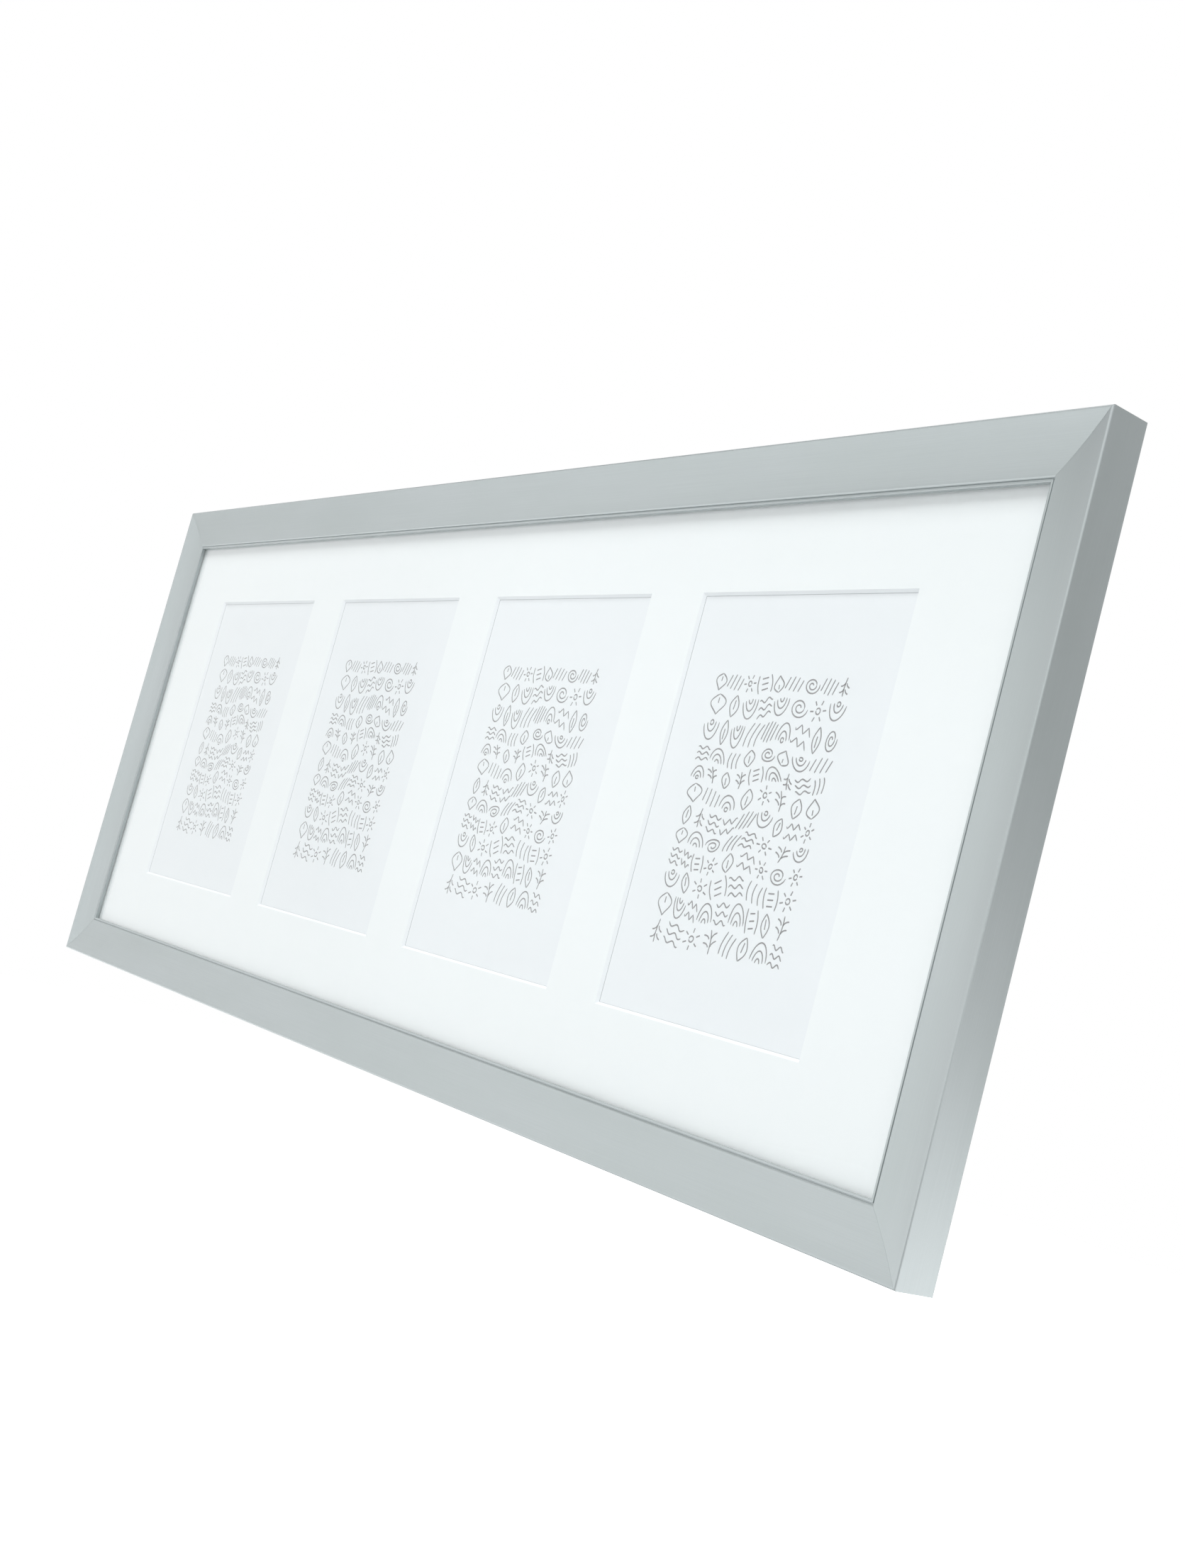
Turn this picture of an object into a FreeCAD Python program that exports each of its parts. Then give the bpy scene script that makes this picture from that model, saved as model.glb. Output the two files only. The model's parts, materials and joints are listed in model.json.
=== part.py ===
import FreeCAD, Part
import math
import os

# Collage photo frame for four upright photographs in one row, all sizes in millimetres.
#
# Frame of reference: +X runs to the viewer's right, +Y runs back to the wall and +Z is up.
# The origin is the middle of the bottom edge face, half way through the moulding's depth.
# In a rail's section, s is measured inwards from the rail's outer side and d is measured
# backwards from the front arris, which is the foremost line of the moulding.

V = FreeCAD.Vector
AXIS_X = V(1, 0, 0)
AXIS_Y = V(0, 1, 0)
AXIS_Z = V(0, 0, 1)

# ---------------------------------------------------------------- mat and photographs
WINDOW_COUNT = 4
WINDOW_WIDTH = 140.0          # at the mat's face, outside its bevel
WINDOW_HEIGHT = 190.0
WINDOW_GAP = 40.0             # mat between two windows
MAT_SIDE_MARGIN = 59.0        # mat that shows beside the first and the last window
MAT_TOP_MARGIN = 39.0         # mat that shows above and below the windows
MAT_THICKNESS = 1.4           # also the width of the 45 degree bevel
PRINT_OVERLAP = 5.0           # how far a photograph reaches past its window on each side
PRINT_THICKNESS = 0.3

# ---------------------------------------------------------------- sheets in the rebate
GLASS_THICKNESS = 2.0
FILLER_THICKNESS = 5.0
PANEL_THICKNESS = 3.0
PANEL_RECESS = 0.3            # back panel's face below the rails' back
SHEET_CLEARANCE = 0.8         # round every sheet in the rebate

# ---------------------------------------------------------------- moulding
FACE_WIDTH = 26.0             # outer side to sight edge
REBATE_WIDTH = 6.5            # how far the lip covers the glass
ARRIS_RADIUS = 0.8
SCOOP_DROP = 4.6              # inner edge of the hollow face behind the arris, before its rounding
SCOOP_SAG = 0.7               # hollow of the face below its chord
BEAD_WIDTH = 1.2              # rolled edge where the hollow face ends
QUIRK_DEPTH = 0.9             # groove beside the bead
QUIRK_WIDTH = 0.35
LIP_WIDTH = 1.05              # small round at the sight edge
LIP_DROP = 0.4                # lip's crest behind the end of the hollow face
LIP_ROUND = 0.25
LIP_THICKNESS = 2.3           # lip's crest to glass

# ---------------------------------------------------------------- mitre nails
NAILS_PER_CORNER = 2
NAIL_INSET = 9.0              # rail's outer side to the first nail's apex
NAIL_PITCH = 7.0              # between the apexes, measured across the rail
NAIL_LEG = 6.0
NAIL_SHEET = 0.5
NAIL_HEIGHT = 9.0
NAIL_COUNTERSINK = 0.3
NAIL_HALF_ANGLE = 55.0
NAIL_CLEARANCE = 0.05

# ---------------------------------------------------------------- turn buttons
LONG_RAIL_BUTTONS = 3
BUTTON_END_OFFSET = 145.0     # frame's end to the first button of a long rail
BUTTON_WIDTH = 11.0
BUTTON_REACH = 24.0           # pivot to tip
BUTTON_SHEET = 1.0
BUTTON_PLAY = 0.1             # under the button, and under the screw's head
PIVOT_CLEARANCE = 0.08        # round the screw's shank

# ---------------------------------------------------------------- screws
BUTTON_SHANK_RADIUS = 1.6
BUTTON_HEAD_RADIUS = 3.4
BUTTON_HEAD_HEIGHT = 1.9
BUTTON_SCREW_BITE = 11.0      # length in the wood
HANGER_SHANK_RADIUS = 1.7
HANGER_HEAD_RADIUS = 3.5
HANGER_HEAD_HEIGHT = 2.0
HANGER_SCREW_BITE = 12.0
HEAD_ROUND = 0.6
CROSS_LENGTH = 3.6
CROSS_WIDTH = 0.8
CROSS_DEPTH = 1.0
TIP_LENGTH = 2.5
PILOT_CLEARANCE = 0.05

# ---------------------------------------------------------------- hangers
HANGER_DROP = 60.0            # frame's top edge to the ring's pivot
HANGER_WIDTH = 10.0
HANGER_SHIFT = 2.25           # middle of an end rail's back to the hanger, inward
HANGER_SHEET = 1.0
HANGER_HOLE_COUNT = 2
HANGER_HOLE_DROP = 18.0       # pivot to the first hole
HANGER_HOLE_PITCH = 12.0
HANGER_END_MARGIN = 6.0       # last hole to the plate's end
HANGER_HOLE_CLEARANCE = 0.25
HANGER_END_ROUND = 3.0
RING_WIRE_RADIUS = 1.0
RING_CLEARANCE = 0.08         # ring's bar in the barrel
RING_HALF_WIDTH = 8.0         # to the wire's centre line
RING_ARM = 2.0                # straight length between a top corner and the bow
RING_CORNER = 2.0

# ---------------------------------------------------------------- wall bumpers
BUMPER_HEIGHT = 3.2
BUMPER_BASE_RADIUS = 5.5
BUMPER_TOP_RADIUS = 4.0
BUMPER_RISE = 32.0            # frame's bottom edge to the bumper's centre

# ---------------------------------------------------------------- what follows from these
WINDOW_PITCH = WINDOW_WIDTH + WINDOW_GAP
WINDOW_ROW = WINDOW_COUNT * WINDOW_WIDTH + (WINDOW_COUNT - 1) * WINDOW_GAP
FRAME_WIDTH = WINDOW_ROW + 2 * (MAT_SIDE_MARGIN + FACE_WIDTH)
FRAME_HEIGHT = WINDOW_HEIGHT + 2 * (MAT_TOP_MARGIN + FACE_WIDTH)
MID_HEIGHT = FRAME_HEIGHT / 2

SEAT_DEPTH = SCOOP_DROP + LIP_DROP + LIP_THICKNESS
SHEET_STACK = GLASS_THICKNESS + MAT_THICKNESS + PRINT_THICKNESS + FILLER_THICKNESS + PANEL_THICKNESS
RAIL_DEPTH = SEAT_DEPTH + SHEET_STACK + PANEL_RECESS
FRONT_Y = -RAIL_DEPTH / 2
BACK_Y = RAIL_DEPTH / 2
GLASS_Y = FRONT_Y + SEAT_DEPTH
MAT_Y = GLASS_Y + GLASS_THICKNESS
PRINT_Y = MAT_Y + MAT_THICKNESS
FILLER_Y = PRINT_Y + PRINT_THICKNESS
PANEL_Y = FILLER_Y + FILLER_THICKNESS

BACK_WIDTH = FACE_WIDTH - REBATE_WIDTH
FIXING_INSET = BACK_WIDTH / 2  # screws and bumpers sit on the middle of a rail's back
SHEET_WIDTH = FRAME_WIDTH - 2 * (BACK_WIDTH + SHEET_CLEARANCE)
SHEET_HEIGHT = FRAME_HEIGHT - 2 * (BACK_WIDTH + SHEET_CLEARANCE)

BARREL_BORE = RING_WIRE_RADIUS + RING_CLEARANCE
BARREL_RADIUS = BARREL_BORE + HANGER_SHEET
RING_PIVOT_Y = BACK_Y + BARREL_RADIUS
RING_PIVOT_Z = FRAME_HEIGHT - HANGER_DROP
BUMPER_X = FRAME_WIDTH / 2 - FIXING_INSET
HANGER_X = BUMPER_X - HANGER_SHIFT
HANGER_HOLE_DROPS = [HANGER_HOLE_DROP + index * HANGER_HOLE_PITCH for index in range(HANGER_HOLE_COUNT)]
NAIL_INSETS = [NAIL_INSET + index * NAIL_PITCH for index in range(NAILS_PER_CORNER)]

# ---------------------------------------------------------------- shares and tolerance
BEAD_BOW_SHARE = 0.2          # bow of the bead's arc for each unit of its chord
TIP_SHARE = 0.25              # end of a screw's tip for each unit of its shank
END_ROUND_SHARE = 0.9         # most that a plate's end round may take of half its width
SAME_PLACE = 1e-6

os.makedirs("parts", exist_ok=True)


def save(node, shape):
    """Write one sub-part and report its solids and volume."""
    shape.exportStep("parts/" + node + ".step")
    print(node, len(shape.Solids), round(shape.Volume, 1), "sound" if shape.isValid() else "NOT SOUND")


def block(x_range, y_range, z_range):
    """Box between two values on each axis."""
    corner = V(x_range[0], y_range[0], z_range[0])
    size = [high - low for low, high in (x_range, y_range, z_range)]
    return Part.makeBox(size[0], size[1], size[2], corner)


def sheet(width, height, y_front, thickness, x_centre=0.0):
    """Flat sheet that faces the viewer, centred on the frame's height."""
    x_range = (x_centre - width / 2, x_centre + width / 2)
    z_range = (MID_HEIGHT - height / 2, MID_HEIGHT + height / 2)
    return block(x_range, (y_front, y_front + thickness), z_range)


def turned(shape, degrees, pivot=V(0, 0, 0)):
    """Copy of a shape, turned about the Y axis through a point."""
    copy = shape.copy()
    copy.rotate(pivot, AXIS_Y, degrees)
    return copy


def window_centres():
    """X of each window's centre, from left to right."""
    first = -(WINDOW_COUNT - 1) * WINDOW_PITCH / 2
    return [first + index * WINDOW_PITCH for index in range(WINDOW_COUNT)]


# ---------------------------------------------------------------- moulding
def arc_over_chord(start, end, sag):
    """Arc between two points of the section; on a line that runs inwards, sag bows it backwards."""
    chord = end - start
    normal = V(0, chord.z, -chord.y)
    normal.normalize()
    middle = (start + end) / 2 + normal * sag
    return Part.Arc(start, middle, end).toShape()


def section_point(s, d):
    """Point of the moulding's section on the bottom rail, where s runs up."""
    return V(0, FRONT_Y + d, s)


def rail_section():
    """Closed face of the moulding: arris, hollow face, bead, quirk, sight lip and rebate."""
    scoop_end = FACE_WIDTH - BEAD_WIDTH - QUIRK_WIDTH - LIP_WIDTH
    chord = math.hypot(scoop_end, SCOOP_DROP)
    start_slope = math.atan2(SCOOP_DROP, scoop_end) + 2 * math.atan(2 * SCOOP_SAG / chord)
    corner_angle = math.pi / 2 - start_slope
    tangent = ARRIS_RADIUS / math.tan(corner_angle / 2)
    arris_bow = ARRIS_RADIUS * (1 - math.sin(corner_angle / 2))
    lip_crest = SCOOP_DROP + LIP_DROP
    quirk_floor = SCOOP_DROP + QUIRK_DEPTH
    quirk_start = scoop_end + BEAD_WIDTH
    quirk_end = quirk_start + QUIRK_WIDTH

    outer_back = section_point(0, RAIL_DEPTH)
    arris_start = section_point(0, tangent)
    arris_end = section_point(tangent * math.cos(start_slope), tangent * math.sin(start_slope))
    bead_start = section_point(scoop_end, SCOOP_DROP)
    bead_end = section_point(quirk_start, quirk_floor)
    quirk_inner = section_point(quirk_end, quirk_floor)
    lip_start = section_point(quirk_end, lip_crest + LIP_ROUND)
    lip_front_outer = section_point(quirk_end + LIP_ROUND, lip_crest)
    lip_front_inner = section_point(FACE_WIDTH - LIP_ROUND, lip_crest)
    lip_end = section_point(FACE_WIDTH, lip_crest + LIP_ROUND)
    seat_inner = section_point(FACE_WIDTH, SEAT_DEPTH)
    seat_outer = section_point(BACK_WIDTH, SEAT_DEPTH)
    rebate_back = section_point(BACK_WIDTH, RAIL_DEPTH)

    bead_bow = (bead_end - bead_start).Length * BEAD_BOW_SHARE
    lip_bow = LIP_ROUND * (1 - math.sqrt(0.5))
    edges = [
        Part.makeLine(outer_back, arris_start),
        arc_over_chord(arris_start, arris_end, -arris_bow),
        arc_over_chord(arris_end, bead_start, SCOOP_SAG),
        arc_over_chord(bead_start, bead_end, -bead_bow),
        Part.makeLine(bead_end, quirk_inner),
        Part.makeLine(quirk_inner, lip_start),
        arc_over_chord(lip_start, lip_front_outer, -lip_bow),
        Part.makeLine(lip_front_outer, lip_front_inner),
        arc_over_chord(lip_front_inner, lip_end, -lip_bow),
        Part.makeLine(lip_end, seat_inner),
        Part.makeLine(seat_inner, seat_outer),
        Part.makeLine(seat_outer, rebate_back),
        Part.makeLine(rebate_back, outer_back),
    ]
    return Part.Face(Part.Wire(edges))


def make_rail(length):
    """Rail along X with its outer side on Z = 0, cut to a 45 degree mitre at both ends."""
    stick = rail_section().extrude(V(length, 0, 0))
    stick.translate(V(-length / 2, 0, 0))
    half = length / 2
    outline = [(-half, 0), (half, 0), (half - FACE_WIDTH, FACE_WIDTH), (FACE_WIDTH - half, FACE_WIDTH)]
    points = [V(x, FRONT_Y, z) for x, z in outline]
    mitre = Part.Face(Part.makePolygon(points + points[:1])).extrude(V(0, RAIL_DEPTH, 0))
    return stick.common(mitre)


def rail_places():
    """Turn about Y and shift that take a rail's own frame to each side of the frame."""
    return {
        "bottom": (0, V(0, 0, 0)),
        "top": (180, V(0, 0, FRAME_HEIGHT)),
        "left": (90, V(-FRAME_WIDTH / 2, 0, MID_HEIGHT)),
        "right": (-90, V(FRAME_WIDTH / 2, 0, MID_HEIGHT)),
    }


def placed(shape, side):
    """Copy of a shape, taken from a rail's own frame to one side of the frame."""
    degrees, shift = rail_places()[side]
    copy = turned(shape, degrees)
    copy.translate(shift)
    return copy


# ---------------------------------------------------------------- mitre nails
def v_nail(apex_inset, sheet_thickness, leg, height):
    """V nail across the lower left mitre: two flat legs that open towards the corner."""
    apex = V(-FRAME_WIDTH / 2 + apex_inset, 0, apex_inset)
    legs = []
    for sign in (1, -1):
        strip = Part.makeBox(leg, height, sheet_thickness, V(0, 0, -sheet_thickness / 2))
        legs.append(turned(strip, 135 + sign * NAIL_HALF_ANGLE))
    nail = legs[0].fuse(legs[1]).removeSplitter()
    nail.translate(apex + V(0, BACK_Y - NAIL_COUNTERSINK - NAIL_HEIGHT, 0))
    return nail


def at_all_corners(shape):
    """The lower left corner's shape, mirrored to the other three corners."""
    mirrored = shape.mirror(V(0, 0, 0), AXIS_X)
    lower = [shape, mirrored]
    upper = [item.mirror(V(0, 0, MID_HEIGHT), AXIS_Z) for item in lower]
    return lower + upper


def corner_nails():
    nails = []
    for inset in NAIL_INSETS:
        nails += at_all_corners(v_nail(inset, NAIL_SHEET, NAIL_LEG, NAIL_HEIGHT))
    return nails


def nail_slots():
    """Slots in the mitred ends, open at the back so that the nails can be driven in."""
    slots = []
    for inset in NAIL_INSETS:
        slot = v_nail(inset, NAIL_SHEET + 2 * NAIL_CLEARANCE, NAIL_LEG + NAIL_CLEARANCE,
                      NAIL_HEIGHT + 2 * NAIL_COUNTERSINK)
        slots += at_all_corners(slot)
    return slots


# ---------------------------------------------------------------- screws
def pan_screw(x, z, head_y, shank_radius, head_radius, head_height, shank_length):
    """Pan head screw that points to the front, with its head's flat side at head_y."""
    toward_front = V(0, -1, 0)
    seat = V(x, head_y, z)
    head = Part.makeCylinder(head_radius, head_height, seat, AXIS_Y)
    rim = [edge for edge in head.Edges
           if abs(edge.CenterOfMass.y - head_y - head_height) < SAME_PLACE]
    head = head.makeFillet(min(HEAD_ROUND, head_height / 2), rim[:1])
    shank = Part.makeCylinder(shank_radius, shank_length - TIP_LENGTH, seat, toward_front)
    tip_start = V(x, head_y - shank_length + TIP_LENGTH, z)
    tip = Part.makeCone(shank_radius, shank_radius * TIP_SHARE, TIP_LENGTH, tip_start, toward_front)
    screw = head.fuse([shank, tip]).removeSplitter()
    floor = head_y + head_height - CROSS_DEPTH
    top = head_y + head_height + CROSS_DEPTH
    for half_x, half_z in ((CROSS_LENGTH / 2, CROSS_WIDTH / 2), (CROSS_WIDTH / 2, CROSS_LENGTH / 2)):
        slot = block((x - half_x, x + half_x), (floor, top), (z - half_z, z + half_z))
        screw = screw.cut(slot)
    return screw


def pilot_hole(x, z, radius, depth):
    """Blind hole in a rail's back for a screw."""
    return Part.makeCylinder(radius, depth, V(x, BACK_Y + PILOT_CLEARANCE, z), V(0, -1, 0))


# ---------------------------------------------------------------- turn buttons
def button_places():
    """Name, pivot and turn of each turn button; a button points inwards when it is closed."""
    first = -FRAME_WIDTH / 2 + BUTTON_END_OFFSET
    step = (FRAME_WIDTH - 2 * BUTTON_END_OFFSET) / (LONG_RAIL_BUTTONS - 1)
    places = []
    for index in range(LONG_RAIL_BUTTONS):
        x = first + index * step
        places.append(("top_" + str(index + 1), x, FRAME_HEIGHT - FIXING_INSET, 180))
        places.append(("bottom_" + str(index + 1), x, FIXING_INSET, 0))
    places.append(("left", -FRAME_WIDTH / 2 + FIXING_INSET, MID_HEIGHT, 90))
    places.append(("right", FRAME_WIDTH / 2 - FIXING_INSET, MID_HEIGHT, -90))
    return places


def turn_button(x, z, degrees):
    """Flat leaf with round ends and a pivot hole, pointing up before it is turned."""
    end_radius = BUTTON_WIDTH / 2
    y = BACK_Y + BUTTON_PLAY
    tip_z = BUTTON_REACH - end_radius
    tail = Part.makeCylinder(end_radius, BUTTON_SHEET, V(0, y, 0), AXIS_Y)
    tip = Part.makeCylinder(end_radius, BUTTON_SHEET, V(0, y, tip_z), AXIS_Y)
    middle = block((-end_radius, end_radius), (y, y + BUTTON_SHEET), (0, tip_z))
    leaf = middle.fuse([tail, tip]).removeSplitter()
    hole_radius = BUTTON_SHANK_RADIUS + PIVOT_CLEARANCE
    leaf = leaf.cut(Part.makeCylinder(hole_radius, 3 * BUTTON_SHEET, V(0, y - BUTTON_SHEET, 0), AXIS_Y))
    leaf = turned(leaf, degrees)
    leaf.translate(V(x, 0, z))
    return leaf


def button_screw(x, z):
    lift = BUTTON_SHEET + 2 * BUTTON_PLAY
    return pan_screw(x, z, BACK_Y + lift, BUTTON_SHANK_RADIUS, BUTTON_HEAD_RADIUS,
                     BUTTON_HEAD_HEIGHT, BUTTON_SCREW_BITE + lift)


# ---------------------------------------------------------------- hangers
def hanger_plate(x):
    """Strap on a rail's back whose upper end is rolled into a barrel for the ring's bar."""
    length = HANGER_HOLE_DROPS[-1] + HANGER_END_MARGIN
    half = HANGER_WIDTH / 2
    strap = block((x - half, x + half), (BACK_Y, BACK_Y + HANGER_SHEET),
                  (RING_PIVOT_Z - length, RING_PIVOT_Z))
    ends = [edge for edge in strap.Edges
            if abs(edge.CenterOfMass.z - RING_PIVOT_Z + length) < SAME_PLACE
            and abs(abs(edge.CenterOfMass.x - x) - half) < SAME_PLACE]
    strap = strap.makeFillet(min(HANGER_END_ROUND, half * END_ROUND_SHARE), ends)
    barrel_start = V(x - half, RING_PIVOT_Y, RING_PIVOT_Z)
    plate = strap.fuse(Part.makeCylinder(BARREL_RADIUS, HANGER_WIDTH, barrel_start, AXIS_X))
    plate = plate.removeSplitter()
    bore_start = V(x - HANGER_WIDTH, RING_PIVOT_Y, RING_PIVOT_Z)
    plate = plate.cut(Part.makeCylinder(BARREL_BORE, 2 * HANGER_WIDTH, bore_start, AXIS_X))
    hole_radius = HANGER_SHANK_RADIUS + HANGER_HOLE_CLEARANCE
    for drop in HANGER_HOLE_DROPS:
        start = V(x, BACK_Y - HANGER_SHEET, RING_PIVOT_Z - drop)
        plate = plate.cut(Part.makeCylinder(hole_radius, 3 * HANGER_SHEET, start, AXIS_Y))
    return plate


def hanger_ring(x):
    """D ring of round wire that hangs down from its bar: bar, corners, arms and a half round bow."""
    half = RING_HALF_WIDTH
    corner = RING_CORNER
    bow_z = -(corner + RING_ARM)
    bend = corner * (1 - math.sqrt(0.5))

    def at(local_x, local_z):
        return V(x + local_x, RING_PIVOT_Y, RING_PIVOT_Z + local_z)

    edges = [
        Part.makeLine(at(0, 0), at(half - corner, 0)),
        Part.Arc(at(half - corner, 0), at(half - bend, -bend), at(half, -corner)).toShape(),
        Part.makeLine(at(half, -corner), at(half, bow_z)),
        Part.Arc(at(half, bow_z), at(0, bow_z - half), at(-half, bow_z)).toShape(),
        Part.makeLine(at(-half, bow_z), at(-half, -corner)),
        Part.Arc(at(-half, -corner), at(bend - half, -bend), at(corner - half, 0)).toShape(),
        Part.makeLine(at(corner - half, 0), at(0, 0)),
    ]
    centre_line = Part.Wire(edges)
    circle = Part.Wire([Part.makeCircle(RING_WIRE_RADIUS, at(0, 0), AXIS_X)])
    return centre_line.makePipeShell([circle], True, False)


def hanger_screws():
    screws = []
    for x in (-HANGER_X, HANGER_X):
        for drop in HANGER_HOLE_DROPS:
            screws.append(pan_screw(x, RING_PIVOT_Z - drop, BACK_Y + HANGER_SHEET, HANGER_SHANK_RADIUS,
                                    HANGER_HEAD_RADIUS, HANGER_HEAD_HEIGHT,
                                    HANGER_SCREW_BITE + HANGER_SHEET))
    return screws


# ---------------------------------------------------------------- sheets and bumpers
def mat_board():
    """Mat with a row of windows, each with a 45 degree bevel that narrows to the back."""
    board = sheet(SHEET_WIDTH, SHEET_HEIGHT, MAT_Y, MAT_THICKNESS)
    for x in window_centres():
        rings = []
        for y, taper in ((MAT_Y - MAT_THICKNESS, -MAT_THICKNESS),
                         (PRINT_Y + MAT_THICKNESS, 2 * MAT_THICKNESS)):
            half_x = WINDOW_WIDTH / 2 - taper
            half_z = WINDOW_HEIGHT / 2 - taper
            corners = [(-half_x, -half_z), (half_x, -half_z), (half_x, half_z), (-half_x, half_z)]
            points = [V(x + cx, y, MID_HEIGHT + cz) for cx, cz in corners]
            rings.append(Part.makePolygon(points + points[:1]))
        board = board.cut(Part.makeLoft(rings, True, True))
    return board


def wall_bumpers():
    """Two soft studs on the end rails' backs, near the lower corners."""
    return [Part.makeCone(BUMPER_BASE_RADIUS, BUMPER_TOP_RADIUS, BUMPER_HEIGHT,
                          V(x, BACK_Y, BUMPER_RISE), AXIS_Y)
            for x in (-BUMPER_X, BUMPER_X)]


# ---------------------------------------------------------------- the pieces
cutters = nail_slots()
for name, x, z, degrees in button_places():
    cutters.append(pilot_hole(x, z, BUTTON_SHANK_RADIUS + PILOT_CLEARANCE,
                              BUTTON_SCREW_BITE + 2 * PILOT_CLEARANCE))
for x in (-HANGER_X, HANGER_X):
    for drop in HANGER_HOLE_DROPS:
        cutters.append(pilot_hole(x, RING_PIVOT_Z - drop, HANGER_SHANK_RADIUS + PILOT_CLEARANCE,
                                  HANGER_SCREW_BITE + 2 * PILOT_CLEARANCE))

long_rail = make_rail(FRAME_WIDTH)
end_rail = make_rail(FRAME_HEIGHT)
for side, rail in (("top", long_rail), ("bottom", long_rail), ("left", end_rail), ("right", end_rail)):
    save("rail_" + side, placed(rail, side).cut(cutters))

save("corner_v_nails", Part.makeCompound(corner_nails()))
save("glass_pane", sheet(SHEET_WIDTH, SHEET_HEIGHT, GLASS_Y, GLASS_THICKNESS))
save("mat_board", mat_board())
for index, x in enumerate(window_centres()):
    width = WINDOW_WIDTH + 2 * PRINT_OVERLAP
    height = WINDOW_HEIGHT + 2 * PRINT_OVERLAP
    save("insert_print_" + str(index + 1), sheet(width, height, PRINT_Y, PRINT_THICKNESS, x))
save("filler_board", sheet(SHEET_WIDTH, SHEET_HEIGHT, FILLER_Y, FILLER_THICKNESS))
save("back_panel", sheet(SHEET_WIDTH, SHEET_HEIGHT, PANEL_Y, PANEL_THICKNESS))

for name, x, z, degrees in button_places():
    save("turn_button_" + name, turn_button(x, z, degrees))
screws = [button_screw(x, z) for name, x, z, degrees in button_places()]
save("turn_button_screws", Part.makeCompound(screws))

for name, x in (("left", -HANGER_X), ("right", HANGER_X)):
    save("hanger_plate_" + name, hanger_plate(x))
    save("hanger_ring_" + name, hanger_ring(x))
save("hanger_screws", Part.makeCompound(hanger_screws()))
save("wall_bumpers", Part.makeCompound(wall_bumpers()))
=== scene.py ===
"""Looks of a wide collage photo frame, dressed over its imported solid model.

All lengths are in metres, in the part's own frame: +X to the viewer's right, +Y back to the wall
and +Z up, with the origin on the middle of the bottom edge. In a rail's section s runs inwards
from the outer side and d runs back from the front arris.
"""

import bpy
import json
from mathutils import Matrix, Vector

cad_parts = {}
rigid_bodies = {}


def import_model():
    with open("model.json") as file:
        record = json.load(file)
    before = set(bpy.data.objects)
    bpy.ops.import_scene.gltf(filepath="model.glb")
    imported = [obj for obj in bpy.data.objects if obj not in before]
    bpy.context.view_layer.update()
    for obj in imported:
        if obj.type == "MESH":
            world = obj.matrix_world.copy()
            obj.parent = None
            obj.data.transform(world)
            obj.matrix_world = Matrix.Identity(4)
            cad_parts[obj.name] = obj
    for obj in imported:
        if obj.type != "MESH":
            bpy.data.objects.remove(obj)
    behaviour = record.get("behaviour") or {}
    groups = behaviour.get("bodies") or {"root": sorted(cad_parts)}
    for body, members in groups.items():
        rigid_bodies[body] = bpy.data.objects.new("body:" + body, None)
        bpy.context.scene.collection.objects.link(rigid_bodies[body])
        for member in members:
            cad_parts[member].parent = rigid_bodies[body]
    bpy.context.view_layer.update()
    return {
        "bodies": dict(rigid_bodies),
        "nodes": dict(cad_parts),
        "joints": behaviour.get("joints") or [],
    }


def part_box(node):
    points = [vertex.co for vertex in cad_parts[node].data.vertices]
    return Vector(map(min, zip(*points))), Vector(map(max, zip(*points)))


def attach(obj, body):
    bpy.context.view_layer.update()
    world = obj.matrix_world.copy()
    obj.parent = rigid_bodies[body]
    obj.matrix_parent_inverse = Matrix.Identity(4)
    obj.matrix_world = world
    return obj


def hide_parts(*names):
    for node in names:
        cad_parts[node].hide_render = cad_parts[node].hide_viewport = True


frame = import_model()

import json
import math

import bmesh
import bpy
import numpy as np
from mathutils import Matrix, Vector

MM = 0.001
X, Y, Z = range(3)
FRAME_BODY = "frame"


def span(node, axis):
    """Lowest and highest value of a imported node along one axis."""
    low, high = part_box(node)
    return low[axis], high[axis]


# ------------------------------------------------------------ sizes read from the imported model
LEFT, RIGHT = span("rail_bottom", X)
BOTTOM, TOP = span("rail_left", Z)
WIDTH = RIGHT - LEFT
HEIGHT = TOP - BOTTOM
MID_HEIGHT = (BOTTOM + TOP) / 2
BACK = span("rail_top", Y)[1]
MAT_FRONT, MAT_BACK = span("mat_board", Y)
PRINT_FRONT = span("insert_print_1", Y)[0]
PRINT_NODES = sorted(node for node in frame["nodes"] if node.startswith("insert_print"))
BUTTON_BODIES = sorted(body for body in frame["bodies"] if body.startswith("turn_button"))
RING_BODIES = sorted(body for body in frame["bodies"] if body.startswith("hanger_ring"))
PIVOTS = {joint["child"]: np.array(joint["pos_m"]) for joint in frame["joints"]}

# ------------------------------------------------------------ moulding, as in the solid model
RAIL_DEPTH = 19.3 * MM
FACE = 26.0 * MM
BACK_WIDTH = 19.5 * MM
ARRIS_RADIUS = 0.81 * MM
SCOOP_DROP = 4.6 * MM
SCOOP_SAG = 0.7 * MM
BEAD_WIDTH = 1.2 * MM
BEAD_BOW_SHARE = 0.2
QUIRK_DEPTH = 0.9 * MM
QUIRK_WIDTH = 0.35 * MM
LIP_WIDTH = 1.05 * MM
LIP_DROP = 0.4 * MM
LIP_ROUND = 0.25 * MM
SEAT_DEPTH = 7.3 * MM
BACK_EASE = 0.3 * MM          # rounding of the outer corner at the back
MITRE_GAP = 0.035 * MM        # each rail's end stops this far short of the mitre
FRONT = BACK - RAIL_DEPTH
ARRIS_STEPS, SCOOP_STEPS, BEAD_STEPS, LIP_STEPS, EASE_STEPS = 12, 40, 10, 6, 4
RAIL_STEPS = 24               # along each rail
RAIL_CREASE = 28              # degrees
SAME_POINT = 1e-9

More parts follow.
